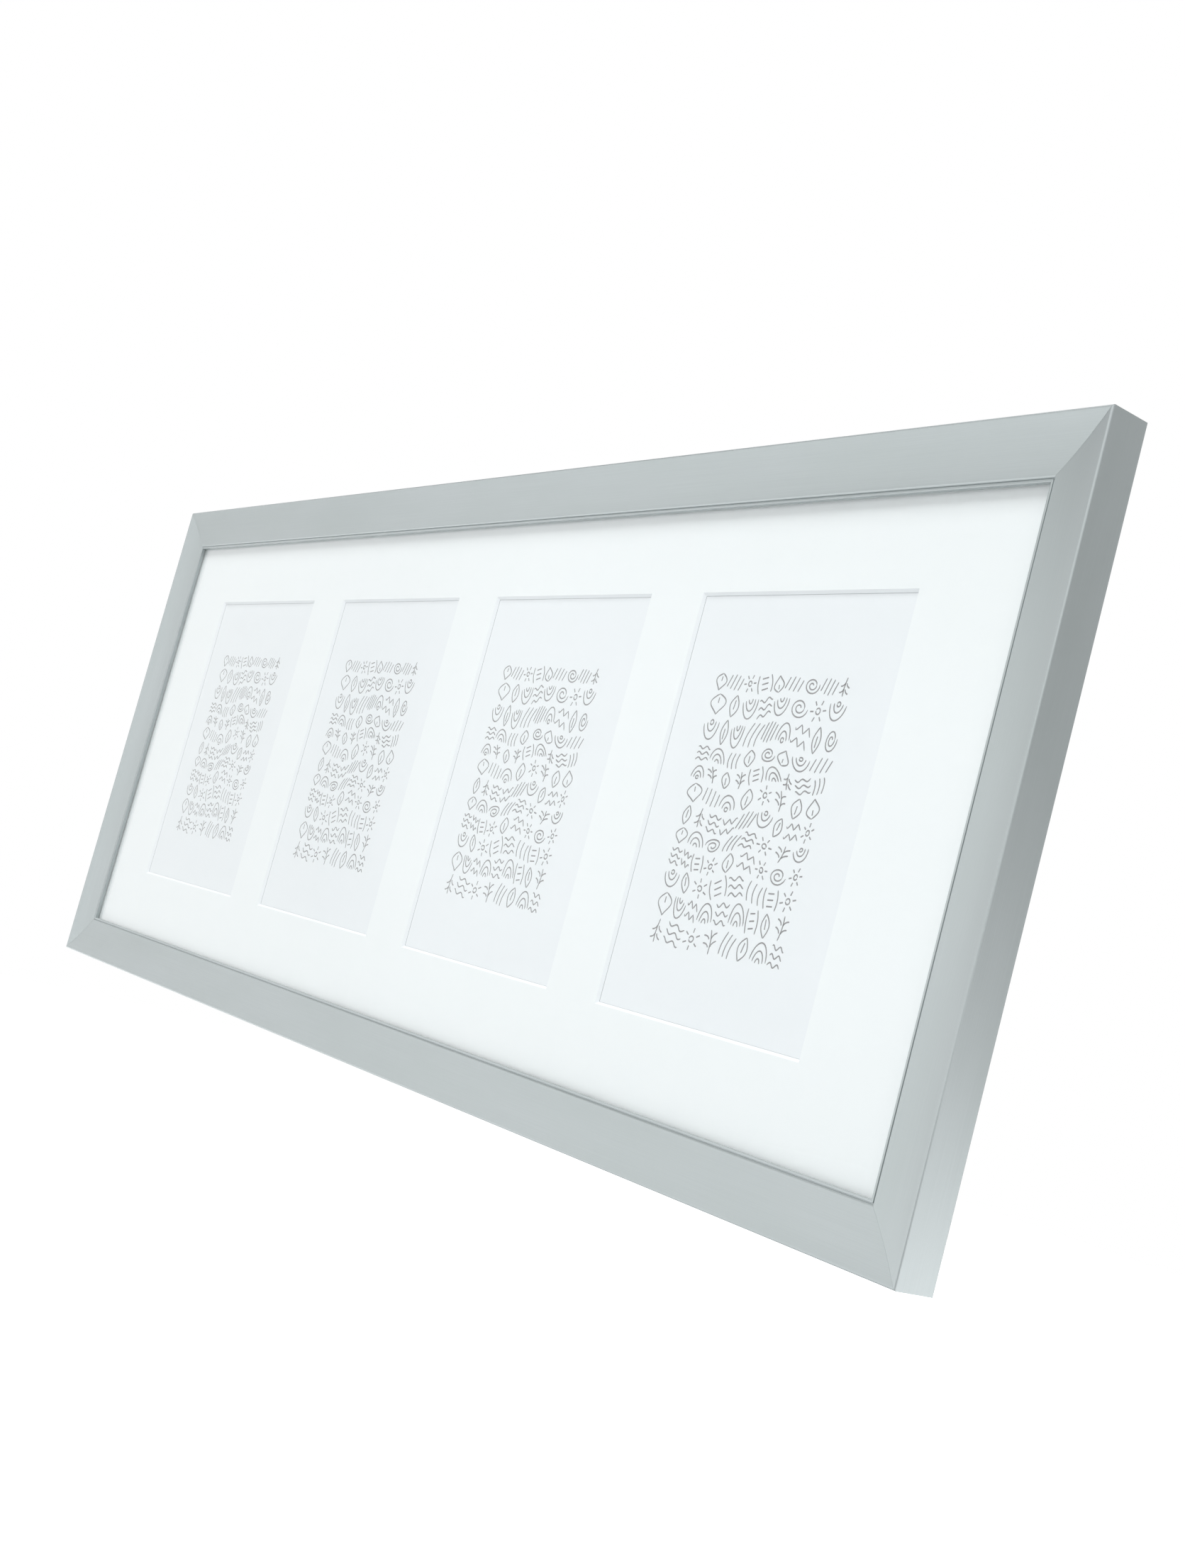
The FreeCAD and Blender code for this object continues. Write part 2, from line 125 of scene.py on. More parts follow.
GLASS_GRIND = 0.2 * MM
GLASS_REST = 0.03 * MM        # between the glass and the mat, so that their faces don't coincide

# ------------------------------------------------------------ hardware on the back
BUTTON_HALF_WIDTH = 5.5 * MM
BUTTON_STRAIGHT = 18.5 * MM
BUTTON_SHEET = 1.0 * MM
BUTTON_PLAY = 0.1 * MM
BUTTON_HOLE = 1.68 * MM
BUTTON_EDGE = 0.22 * MM       # radius of the rolled edge
RIB_RISE = 0.2 * MM
RIB_HALF_WIDTH = 2.1 * MM
RIB_START, RIB_END, RIB_RAMP = 5.0 * MM, 21.5 * MM, 2.0 * MM
HEAD_DOME = 0.22              # fall of a screw head's crown at its edge, as a share of its height
RIM_START, RIM_WIDTH, RIM_FALL = 0.7, 0.3, 0.5      # shares of a head's radius, and of its height
RECESS_ARM, RECESS_FLANK = 0.28 * MM, 0.22 * MM
RECESS_REACH, RECESS_END = 1.35 * MM, 0.55 * MM
RECESS_DEPTH, RECESS_FLOOR = 1.1 * MM, 0.05 * MM
BUTTON_HEAD = (3.4 * MM, 1.9 * MM)                  # radius and height
HANGER_HEAD = (3.5 * MM, 2.0 * MM)
BUTTON_HEAD_TURN, BUTTON_HEAD_STEP = 0.4, 1.1       # radians, and radians from head to head
HANGER_HEAD_TURN, HANGER_HEAD_STEP = 0.7, 90        # radians, and radians per metre of drop
HANGER_SHEET = 1.0 * MM
HANGER_ROUND = 0.16 * MM
HANGER_HALF_WIDTH = 5.0 * MM
HANGER_LENGTH = 36.0 * MM
HANGER_HOLES = (18.0 * MM, 30.0 * MM)
HANGER_END_ROUND = 3.0 * MM
BARREL_RADIUS = 2.075 * MM
BARREL_ROLL = (180, -145)     # degrees
RING_WIRE = 1.0 * MM
RING_HALF_WIDTH = 8.0 * MM
RING_CORNER = 2.0 * MM
RING_ARM = 2.0 * MM
BUMPER_INSET = BACK_WIDTH / 2
BUMPER_RISE = 32.0 * MM
BUMPER_BASE, BUMPER_TOP, BUMPER_HEIGHT = 5.5 * MM, 4.0 * MM, 3.2 * MM
BUMPER_FOOT = (BUMPER_BASE - 0.05 * MM, 0.25 * MM)
BUMPER_SHOULDER, BUMPER_EDGE = BUMPER_TOP + 0.1 * MM, 0.7 * MM
BUMPER_CENTRE = 0.05 * MM
NAIL_INSETS = (9.0 * MM, 16.0 * MM)
NAIL_LEG, NAIL_SHEET, NAIL_HEIGHT = 6.0 * MM, 0.5 * MM, 9.0 * MM
NAIL_BEND, NAIL_ROUND = 0.12 * MM, 0.06 * MM
NAIL_HALF_ANGLE = math.radians(55)
NAIL_PROUD = 0.03 * MM
MITRE_TURN = math.radians(135)


# ------------------------------------------------------------ points and meshes
def points_at(*values):
    """Points from the values of each axis, which may be arrays or plain numbers."""
    return np.stack(np.broadcast_arrays(*values), axis=-1)


def polar(angle):
    """Points (cos, sin) of each angle."""
    return points_at(np.cos(angle), np.sin(angle))


def circle(count, radius=1.0):
    """Points of a circle at even angles."""
    return radius * polar(np.arange(count) * 2 * math.pi / count)


def unit(vectors):
    """Vectors along the last axis, each brought to length one."""
    return vectors / np.linalg.norm(vectors, axis=-1, keepdims=True)


def bow(start, end, rise, steps):
    """Points on the arc over a chord of half length h that rises by b. Its radius is
    (h*h + b*b) / 2b, and its angle runs evenly from -a to a, where sin a is h over the radius."""
    start, end = np.array(start, float), np.array(end, float)
    chord = end - start
    half = np.hypot(*chord) / 2
    along = chord / (2 * half)
    across = np.array((-along[1], along[0]))
    radius = (half * half + rise * rise) / (2 * rise)
    reach = math.asin(half / radius)
    angle = np.linspace(-reach, reach, steps + 1)[:, None]
    centre = (start + end) / 2 + across * (rise - radius)
    return centre + radius * (np.sin(angle) * along + np.cos(angle) * across)


def rounded_box(half_width, half_height, radius, steps=4):
    """Rectangle with quarter round corners, as points of its outline."""
    corners = []
    for index, (sx, sy) in enumerate(((1, 1), (-1, 1), (-1, -1), (1, -1))):
        angle = math.pi / 2 * (index + np.linspace(0, 1, steps + 1))
        centre = np.array((sx * (half_width - radius), sy * (half_height - radius)))
        corners.append(centre + radius * polar(angle))
    return np.concatenate(corners)


def sweep(path, section, binormal, close=False, scale=None):
    """Rings of a flat section carried along a plane path. At each point the section's first
    value lies along the in-plane normal, binormal x tangent, and its second along the binormal."""
    ahead = np.roll(path, -1, axis=0) - path
    behind = path - np.roll(path, 1, axis=0)
    if not close:
        ahead[-1], behind[0] = behind[-1], ahead[0]
    tangent = unit(unit(ahead) + unit(behind))
    binormal = np.array(binormal, float)
    normal = np.cross(binormal, tangent)
    if scale is None:
        scale = np.ones((len(path), 2))
    first = section[None, :, 0, None] * scale[:, None, 0, None] * normal[:, None, :]
    second = section[None, :, 1, None] * scale[:, None, 1, None] * binormal
    return path[:, None, :] + first + second


def grid_quads(rows, columns, close_rows=False):
    """Corner numbers of the quads of a grid of points that is numbered row by row. Its columns
    close into a loop, and so may its rows."""
    row = np.arange(rows if close_rows else rows - 1)[:, None]
    column = np.arange(columns)[None, :]
    next_row, next_column = (row + 1) % rows, (column + 1) % columns
    corners = (row * columns + column, row * columns + next_column,
               next_row * columns + next_column, next_row * columns + column)
    return np.stack(corners, axis=-1).reshape(-1, 4)


def tube(rings, close_rows=False):
    """Closed skin over a grid of rings, (rows, columns, 3), with a flat cap on each open end."""
    rows, columns = rings.shape[:2]
    faces = grid_quads(rows, columns, close_rows).tolist()
    if not close_rows:
        faces += [list(range(columns)), list(range((rows - 1) * columns, rows * columns))]
    return rings.reshape(-1, 3), faces


def merged(shapes):
    """One shape from several, each given as its points and its faces."""
    points, faces, start = [], [], 0
    for part_points, part_faces in shapes:
        points.append(part_points)
        faces += [[start + corner for corner in face] for face in part_faces]
        start += len(part_points)
    return np.concatenate(points), faces


def add_piece(name, shape, finishes, body, replaces=(), face_finish=None, uv=None,
              crease=35):
    """Mesh object with outward faces, smooth up to the crease angle, that rides on a body."""
    points, faces = shape
    mesh = bpy.data.meshes.new(name)
    mesh.from_pydata(np.asarray(points, float).tolist(), [], faces)
    for finish in finishes:
        mesh.materials.append(finish)
    if face_finish is not None:
        mesh.polygons.foreach_set("material_index", face_finish)
    if uv is not None:
        layer = mesh.uv_layers.new(name="surface")
        layer.data.foreach_set("uv", np.asarray(uv, np.float32).ravel())
    shell = bmesh.new()
    shell.from_mesh(mesh)
    bmesh.ops.recalc_face_normals(shell, faces=shell.faces)
    shell.to_mesh(mesh)
    shell.free()
    mesh.shade_smooth()
    mesh.set_sharp_from_angle(angle=math.radians(crease))
    piece = bpy.data.objects.new(name, mesh)
    bpy.context.scene.collection.objects.link(piece)
    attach(piece, body)
    if replaces:
        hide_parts(*replaces)
    return piece


# ------------------------------------------------------------ finishes
NOISE_LOW, NOISE_HIGH = 0.3, 0.7     # nearly all of a noise lies between these


class Finish:
    """A node material with one Principled shader, and short calls for the nodes that feed it."""

    def __init__(self, name, **sockets):
        self.material = bpy.data.materials.new(name)
        self.material.use_nodes = True
        self.nodes = self.material.node_tree.nodes
        self.links = self.material.node_tree.links
        self.shader = self.nodes["Principled BSDF"]
        self.set(**sockets)

    def set(self, **sockets):
        """Give the shader's inputs values or sockets, by name."""
        for socket, value in sockets.items():
            self.feed(self.shader.inputs[socket.replace("_", " ")], value)
        return self

    def feed(self, target, value):
        """Link a socket to an input, or give the input any other value."""
        if isinstance(value, bpy.types.NodeSocket):
            self.links.new(value, target)
        else:
            target.default_value = value

    def put(self, kind, **inputs):
        """New node with its inputs fed, by name."""
        node = self.nodes.new(kind)
        for name, value in inputs.items():
            self.feed(node.inputs[name.replace("_", " ")], value)
        return node

    def place(self, scale=(1, 1, 1), surface=False):
        """Object coordinates, or the piece's own surface map, stretched by a scale."""
        coordinates = self.put("ShaderNodeTexCoord").outputs["Object"]
        if surface:
            uv_map = self.put("ShaderNodeUVMap")
            uv_map.uv_map = "surface"
            coordinates = uv_map.outputs["UV"]
        return self.put("ShaderNodeMapping", Vector=coordinates, Scale=scale).outputs["Vector"]

    def noise(self, place, scale, detail=2.0, roughness=0.5, distortion=0.0):
        return self.put("ShaderNodeTexNoise", Vector=place, Scale=scale, Detail=detail,
                        Roughness=roughness, Distortion=distortion).outputs["Fac"]

    def remap(self, value, low, high, to_low, to_high):
        """A value carried from one range into another and held in it."""
        return self.put("ShaderNodeMapRange", Value=value, From_Min=low, From_Max=high,
                        To_Min=to_low, To_Max=to_high).outputs["Result"]

    def spread(self, noise, to_low=0, to_high=1):
        """A noise spread over a whole range."""
        return self.remap(noise, NOISE_LOW, NOISE_HIGH, to_low, to_high)

    def math(self, operation, first, second=0.0):
        node = self.put("ShaderNodeMath")
        node.operation = operation
        self.feed(node.inputs[0], first)
        self.feed(node.inputs[1], second)
        return node.outputs[0]

    def blend(self, share, first, second):
        """Colour between two, by share."""
        node = self.put("ShaderNodeMix")
        node.data_type = "RGBA"
        for index, value in ((0, share), (6, first), (7, second)):
            self.feed(node.inputs[index], value)
        return node.outputs[2]

    def bump(self, height, depth, below=None):
        """Surface relief of a real depth; below is a relief that this one adds to."""
        node = self.put("ShaderNodeBump", Height=height, Distance=depth, Strength=1.0)
        if below is not None:
            self.links.new(below, node.inputs["Normal"])
        return node.outputs["Normal"]

    def mix(self, share, first, second):
        """Show the surface between two shader nodes, by share."""
        both = self.put("ShaderNodeMixShader", Fac=share)
        self.links.new(first.outputs[0], both.inputs[1])
        self.links.new(second.outputs[0], both.inputs[2])
        self.links.new(both.outputs[0], self.nodes["Material Output"].inputs["Surface"])


def rgb(red, green, blue):
    """Linear colour from a display colour, 0 to 255."""
    share = np.array((red, green, blue)) / 255
    linear = np.where(share <= 0.04045, share / 12.92, ((share + 0.055) / 1.055) ** 2.4)
    return (*linear.tolist(), 1.0)


def silver_lacquer():
    """Satin silver lacquer: faint cloudiness, hair-fine streaks along the rail, rare specks."""
    finish = Finish("silver_lacquer", Metallic=0.5, IOR=1.45)
    cloud = finish.noise(finish.place((9, 30, 1), surface=True), 1.0, detail=3)
    streak = finish.noise(finish.place((14, 2600, 1), surface=True), 1.0, detail=2)
    grain = finish.noise(finish.place((1500, 1500, 1), surface=True), 1.0, detail=1)
    colour = finish.blend(finish.spread(cloud), rgb(175, 183, 183), rgb(180, 187, 188))
    colour = finish.blend(finish.remap(streak, 0.35, 0.65, 0, 0.35), colour, rgb(170, 177, 178))
    specks = finish.put("ShaderNodeTexVoronoi", Vector=finish.place((60, 60, 1), surface=True))
    near = finish.remap(specks.outputs["Distance"], 0.012, 0.022, 1, 0)
    rare = finish.put("ShaderNodeSeparateColor", Color=specks.outputs["Color"]).outputs["Red"]
    speck = finish.math("MULTIPLY", near, finish.remap(rare, 0.93, 0.94, 0, 1))
    colour = finish.blend(speck, colour, rgb(120, 122, 122))
    finish.set(Base_Color=colour, Roughness=finish.spread(cloud, 0.33, 0.37))
    relief = finish.bump(streak, 0.0025 * MM)
    return finish.set(Normal=finish.bump(grain, 0.0015 * MM, below=relief)).material


def raw_wood():
    """Pale straight-grained wood: soft bands and short dark pores that run along the rail."""
    finish = Finish("raw_wood", Roughness=0.8)
    bands = finish.noise(finish.place((3, 190, 1), surface=True), 1.0, detail=4, distortion=0.4)
    pores = finish.noise(finish.place((120, 3200, 1), surface=True), 1.0, detail=2)
    colour = finish.blend(finish.spread(bands), rgb(214, 190, 154), rgb(190, 158, 118))
    colour = finish.blend(finish.remap(pores, 0.58, 0.7, 0, 0.6), colour, rgb(150, 116, 80))
    height = finish.math("SUBTRACT", bands, finish.remap(pores, 0.55, 0.7, 0, 1))
    return finish.set(Base_Color=colour, Normal=finish.bump(height, 0.03 * MM)).material


CORE_START, CORE_END = MAT_FRONT + 0.02 * MM, MAT_FRONT + 0.1 * MM
# Depth band at the back of the bevels that gets a painted grey: painted contact shade between
# bevel and print.
BACKING_SHADE_START, BACKING_SHADE_END = MAT_BACK - 0.16 * MM, MAT_BACK - 0.12 * MM


def mat_card():
    """White mat board: a soft paper tooth on its face, and in the bevels a smooth core over a thin
    grey band at their back, which is painted shade of the contact line where the bevel meets the
    print, laid where the back paper's cut edge lies."""
    finish = Finish("mat_card", Roughness=0.85)
    place = finish.place()
    tooth = finish.noise(place, 2600, detail=3, roughness=0.6)
    cloud = finish.noise(place, 60, detail=2)
    depth = finish.put("ShaderNodeSeparateXYZ", Vector=place).outputs["Y"]
    core = finish.remap(depth, CORE_START, CORE_END, 0, 1)
    face = finish.blend(cloud, rgb(245, 248, 249), rgb(243, 247, 248))
    colour = finish.blend(core, face, rgb(243, 246, 249))
    # Painted shade: a grey band at the bevel's back stands in for the contact shadow against the
    # print.
    contact_shade = finish.remap(depth, BACKING_SHADE_START, BACKING_SHADE_END, 0, 1)
    colour = finish.blend(contact_shade, colour, rgb(160, 162, 167))
    return finish.set(Base_Color=colour, Normal=finish.bump(tooth, 0.006 * MM)).material


def print_paper():
    """Smooth cool white paper with a barely uneven tone."""
    finish = Finish("print_paper", Roughness=0.55)
    place = finish.place()
    tone = finish.noise(place, 45, detail=3)
    tooth = finish.noise(place, 4200, detail=2)
    colour = finish.blend(tone, rgb(239, 242, 245), rgb(236, 240, 243))
    return finish.set(Base_Color=colour, Normal=finish.bump(tooth, 0.002 * MM)).material


def grey_ink():
    """Printed grey line whose density varies a little along its length."""
    finish = Finish("grey_ink", Roughness=0.6)
    density = finish.noise(finish.place(), 260, detail=2)
    colour = finish.blend(finish.spread(density), rgb(118, 117, 119), rgb(136, 135, 137))
    return finish.set(Base_Color=colour).material


def clear_glass():
    """Clear float glass with a faint green cast; lamps shine through it."""
    finish = Finish("clear_glass", Roughness=0.0, IOR=1.5, Transmission_Weight=1.0)
    tint = finish.noise(finish.place(), 3.0, detail=1)
    finish.set(Base_Color=finish.blend(tint, rgb(254, 255, 254), rgb(254, 255, 255)))
    rays = finish.put("ShaderNodeLightPath")
    passing = finish.math("MAXIMUM", rays.outputs["Is Shadow Ray"],
                          rays.outputs["Is Diffuse Ray"])
    clear = finish.put("ShaderNodeBsdfTransparent", Color=rgb(253, 254, 254))
    finish.mix(passing, finish.shader, clear)
    return finish.material


def filler_card():
    """Light grey filler board with a fibrous face."""
    finish = Finish("filler_card", Roughness=0.9)
    fibre = finish.noise(finish.place((300, 300, 900)), 1.0, detail=4)
    colour = finish.blend(fibre, rgb(222, 219, 210), rgb(205, 200, 190))
    return finish.set(Base_Color=colour, Normal=finish.bump(fibre, 0.03 * MM)).material


def brown_hardboard():
    """Pressed hardboard: matted fibres in two sizes, dark flecks and a slightly polished face."""
    finish = Finish("brown_hardboard", IOR=1.45)
    mat = finish.noise(finish.place(), 140, detail=5, roughness=0.65, distortion=0.6)
    fibre = finish.noise(finish.place((500, 500, 1400)), 1.0, detail=3, distortion=1.2)
    fleck = finish.noise(finish.place(), 900, detail=1)
    colour = finish.blend(finish.spread(mat), rgb(128, 92, 62), rgb(158, 120, 84))
    colour = finish.blend(finish.remap(fibre, 0.5, 0.75, 0, 0.5), colour, rgb(176, 140, 104))
    colour = finish.blend(finish.remap(fleck, 0.66, 0.74, 0, 0.7), colour, rgb(88, 60, 40))
    relief = finish.bump(fibre, 0.02 * MM)
    return finish.set(Base_Color=colour, Roughness=finish.spread(mat, 0.42, 0.6),
                      Normal=finish.bump(mat, 0.03 * MM, below=relief)).material


def zinc_plate(name, tone, least_roughness):
    """Zinc plating: a faint cloudy bloom, fine drawing scratches and a dulled roughness."""
    finish = Finish(name, Metallic=1.0)
    bloom = finish.noise(finish.place(), 190, detail=3)
    scratch = finish.noise(finish.place((5200, 5200, 260)), 1.0, detail=2)
    dull = tuple(channel * 0.86 for channel in tone[:3]) + (1.0,)
    colour = finish.blend(finish.remap(bloom, 0.35, 0.65, 0, 1), tone, dull)
    rough = finish.spread(scratch, least_roughness, least_roughness + 0.16)
    return finish.set(Base_Color=colour, Roughness=rough,
                      Normal=finish.bump(scratch, 0.004 * MM)).material


def bumper_rubber():
    """Soft dark rubber with a fine moulded grain and a dusty bloom."""
    finish = Finish("bumper_rubber", Specular_IOR_Level=0.4)
    grain = finish.noise(finish.place(), 3000, detail=2)
    bloom = finish.noise(finish.place(), 240, detail=2)
    colour = finish.blend(finish.remap(bloom, 0.35, 0.7, 0, 1), rgb(52, 52, 54), rgb(70, 70, 72))
    return finish.set(Base_Color=colour, Roughness=finish.spread(bloom, 0.55, 0.75),
                      Normal=finish.bump(grain, 0.01 * MM)).material


SILVER, WOOD = silver_lacquer(), raw_wood()
ZINC = zinc_plate("zinc_plate", rgb(178, 178, 173), 0.3)
SCREW_STEEL = zinc_plate("screw_steel", rgb(158, 156, 150), 0.24)
NAIL_STEEL = zinc_plate("nail_steel", rgb(150, 152, 156), 0.34)
RUBBER = bumper_rubber()
INK = grey_ink()


# ------------------------------------------------------------ moulding
def moulding_section():
    """Closed outline of the moulding as (s, d) points, and for each step of it whether it is
    lacquered: outer side, arris, hollow face, bead, quirk, sight lip and its seat. The rebate's
    side wall and the back are bare, up to the eased outer corner, which is lacquered again."""
    scoop_end = FACE - BEAD_WIDTH - QUIRK_WIDTH - LIP_WIDTH
    chord = math.hypot(scoop_end, SCOOP_DROP)
    slope = math.atan2(SCOOP_DROP, scoop_end) + 2 * math.atan(2 * SCOOP_SAG / chord)
    corner = math.pi / 2 - slope
    tangent = ARRIS_RADIUS / math.tan(corner / 2)
    arris_rise = ARRIS_RADIUS * (1 - math.sin(corner / 2))
    quirk_floor, lip_crest = SCOOP_DROP + QUIRK_DEPTH, SCOOP_DROP + LIP_DROP
    bead_end = scoop_end + BEAD_WIDTH
    lip_start = bead_end + QUIRK_WIDTH
    arris_end = (tangent * math.cos(slope), tangent * math.sin(slope))
    bead_rise = math.hypot(BEAD_WIDTH, QUIRK_DEPTH) * BEAD_BOW_SHARE
    lip_rise = LIP_ROUND * (1 - math.sqrt(0.5))
    lip_front = lip_crest + LIP_ROUND
    ease_rise = BACK_EASE * (1 - math.sqrt(0.5))
    lacquered = [
        bow((0, tangent), arris_end, -arris_rise, ARRIS_STEPS),
        bow(arris_end, (scoop_end, SCOOP_DROP), SCOOP_SAG, SCOOP_STEPS),
        bow((scoop_end, SCOOP_DROP), (bead_end, quirk_floor), -bead_rise, BEAD_STEPS),
        np.array([(lip_start, quirk_floor)]),
        bow((lip_start, lip_front), (lip_start + LIP_ROUND, lip_crest), -lip_rise, LIP_STEPS),
        bow((FACE - LIP_ROUND, lip_crest), (FACE, lip_front), -lip_rise, LIP_STEPS),
        np.array([(FACE, SEAT_DEPTH), (BACK_WIDTH, SEAT_DEPTH)]),
    ]
    bare = [
        np.array([(BACK_WIDTH, RAIL_DEPTH)]),
        bow((BACK_EASE, RAIL_DEPTH), (0, RAIL_DEPTH - BACK_EASE), -ease_rise, EASE_STEPS),
    ]
    outline = np.concatenate(lacquered + bare)
    fresh = np.concatenate(([True], np.hypot(*np.diff(outline, axis=0).T) > SAME_POINT))
    silver_steps = sum(map(len, lacquered)) - 1
    is_silver = np.arange(len(outline)) < silver_steps
    is_silver[-EASE_STEPS - 1:] = True
    return outline[fresh], is_silver[fresh]


def add_rail(side, length, turn, shift, shuffle):
    """Rail with mitred ends. In its own frame a section point (s, d) runs along X between
    plus and minus (half the length - s), at Y = front + d and Z = s; then it is turned about Y.
    The shuffle moves the surface map along, so that no two rails show the same grain."""
    outline, is_silver = moulding_section()
    count = len(outline)
    share = np.linspace(-1, 1, RAIL_STEPS + 1)[:, None]
    s, d = outline.T
    along = share * (length / 2 - MITRE_GAP - s)
    cosine, sine = math.cos(turn), math.sin(turn)
    points, faces = tube(points_at(along * cosine + s * sine + shift[0], FRONT + d,
                                   s * cosine - along * sine + shift[1]))
    step = np.hypot(*(np.roll(outline, -1, axis=0) - outline).T)
    girth = np.concatenate(([0], np.cumsum(step)))
    row, column = np.divmod(np.arange(RAIL_STEPS * count), count)
    along_ring = np.concatenate((along, along[:, :1]), axis=1) + shuffle
    corner_rows = np.stack((row, row, row + 1, row + 1), axis=-1)
    corner_columns = np.stack((column, column + 1, column + 1, column), axis=-1)
    side_uv = points_at(along_ring[corner_rows, corner_columns], girth[corner_columns])
    cap_uv = points_at(d, s)
    uv = np.concatenate((side_uv.reshape(-1, 2), cap_uv, cap_uv))
    finish = np.concatenate((np.where(is_silver[column], 0, 1), (0, 0)))
    add_piece("moulding_" + side, (points, faces), (SILVER, WOOD), FRAME_BODY,
              ("rail_" + side,), finish.astype(np.int32), uv, crease=RAIL_CREASE)


# ------------------------------------------------------------ printed line pattern
STROKE_POINTS = 18
T = np.linspace(0, 1, STROKE_POINTS)
INK_WIDTH = 0.66 * MM
INK_END_SHARE = 0.45
INK_THICKNESS = 0.02 * MM
INK_SINK = 0.01 * MM
PATTERN_SEED = 5
PATTERN_WIDTH, PATTERN_HEIGHT = 90.5 * MM, 122.4 * MM
PATTERN_OFFSET = (-1.2 * MM, -2.3 * MM)     # from the window's centre, to the right and up
PATTERN_ROWS, PATTERN_COLUMNS = 12, 8
CELL_SPREAD = (0.8, 1.2)
MOTIF_MARGIN = 0.6 * MM
MOTIF_LEAP = (2, 10)
MOTIF_TILT = 0.22
DRIFT_X = (2.6 * MM, 2.3, 0.2)              # size, waves over the block and phase
DRIFT_Z = (3.0 * MM, 1.7, 0.1)


def curve(x, z):
    """Stroke (points, 2) from two functions of the even steps T, or plain numbers."""
    return points_at(x + 0 * T, z)


def arc(radius_x, radius_z, first, last, centre=(0, 0)):
    """Part of an oval, from one angle to another in degrees."""
    angle = np.radians(first + T * (last - first))
    return curve(centre[0] + radius_x * np.cos(angle), centre[1] + radius_z * np.sin(angle))


def line(start, end):
    return curve(start[0] + T * (end[0] - start[0]), start[1] + T * (end[1] - start[1]))


# Each motif is a list of strokes that fill the square from -1 to 1.
def hill():
    """Two half rounds on one centre over a small ring."""
    return [arc(0.98, 1.5, 6, 174, (0, -0.75)), arc(0.55, 0.85, 6, 174, (0, -0.75)),
            arc(0.2, 0.2, 0, 350, (0, -0.62))]


def water():
    """Three lines z = 0.17 sin(3.4 pi t), one above the other."""
    return [curve(2 * T - 1, 0.17 * np.sin(3.4 * math.pi * T + level) + level)
            for level in (-0.68, 0, 0.68)]


def hatching():
    """Four slanted strokes that start and stop on two bows."""
    return [line((x - 0.12, -0.85 + 0.2 * x * x), (x + 0.12, 0.9 - 0.3 * x * x))
            for x in np.linspace(-0.84, 0.84, 4)]


def snail():
    """Spiral whose radius grows evenly over two turns, cut into two strokes."""
    radii = [0.14 + 0.4 * (part + T) for part in (0, 1)]
    return [radius[:, None] * polar(2 * math.pi * T) for radius in radii]


def leaf():
    """Two bowed sides x = +-0.62 sin(pi t) about a short midrib."""
    sides = [curve(sign * 0.62 * np.sin(math.pi * T), 1.96 * T - 0.98) for sign in (-1, 1)]
    return sides + [line((0, -0.55), (0, 0.3))]


def sprig():
    """Curved stem with two pairs of bowed leaves."""
    leaves = [arc(0.72, 0.5, 90 - sign * 82, 90 - sign * 8, (-sign * 0.84, height)) * (-1, 1)
              for height in (-0.5, 0.15) for sign in (-1, 1)]
    return [curve(0.12 * np.sin(3 * T), 1.96 * T - 0.98)] + leaves


def peaks():
    """Two folded lines, one above the other."""
    fold = np.abs((T * 4.33) % 2 - 1)
    return [curve(2 * T - 1, 0.6 * fold + level) for level in (-0.9, 0.1)]


def bundle():
    """Three bowed strokes side by side, x = 0.3 sin(2.4 t)."""
    return [curve(0.3 * np.sin(2.4 * T) + side, (1.9 * T - 0.95) * (1 - 0.1 * abs(side)))
            for side in (-0.92, -0.26, 0.4)]


def drop():
    """Drop whose half width is 1.35 sin(pi t) (1 - 0.72 t), about a short stroke."""
    sides = [curve(sign * 1.35 * np.sin(math.pi * T) * (1 - 0.72 * T), 1.9 * T - 0.95)
             for sign in (-1, 1)]
    return sides + [line((0, -0.62), (0, -0.1))]


def bowls():
    """Three open bows, one inside the other, that hang from above."""
    return [arc(reach, 1.75 * reach, -172, -8, (0, 0.85)) for reach in (1.0, 0.62, 0.26)]


def sunray():
    """Small ring with six short rays."""
    rays = polar(np.radians(np.arange(6) * 60 + 15))
    return [line(0.56 * ray, 0.98 * ray) for ray in rays] + [arc(0.26, 0.26, 0, 350)]


def ladder():
    """Three short bars stacked between two bows."""
    bars = [line((-0.42, z), (0.42, z + 0.08)) for z in (-0.58, 0, 0.58)]
    return bars + [curve(sign * (0.8 + 0.18 * np.sin(math.pi * T)), 1.9 * T - 0.95)
                   for sign in (-1, 1)]


MOTIFS = (hill, water, leaf, hatching, bowls, sunray, bundle, drop, peaks, sprig, snail, ladder)


def uneven_edges(chance, count, length):
    """Edges that part a length about zero into cells of uneven size."""
    edges = np.concatenate(([0], np.cumsum(chance.uniform(*CELL_SPREAD, count))))
    return (edges / edges[-1] - 0.5) * length


def drift(place, size, waves, phase):
    """Slow wave over the block, size x sin(2 pi (waves x place + phase))."""
    return size * np.sin(2 * math.pi * (waves * place + phase))


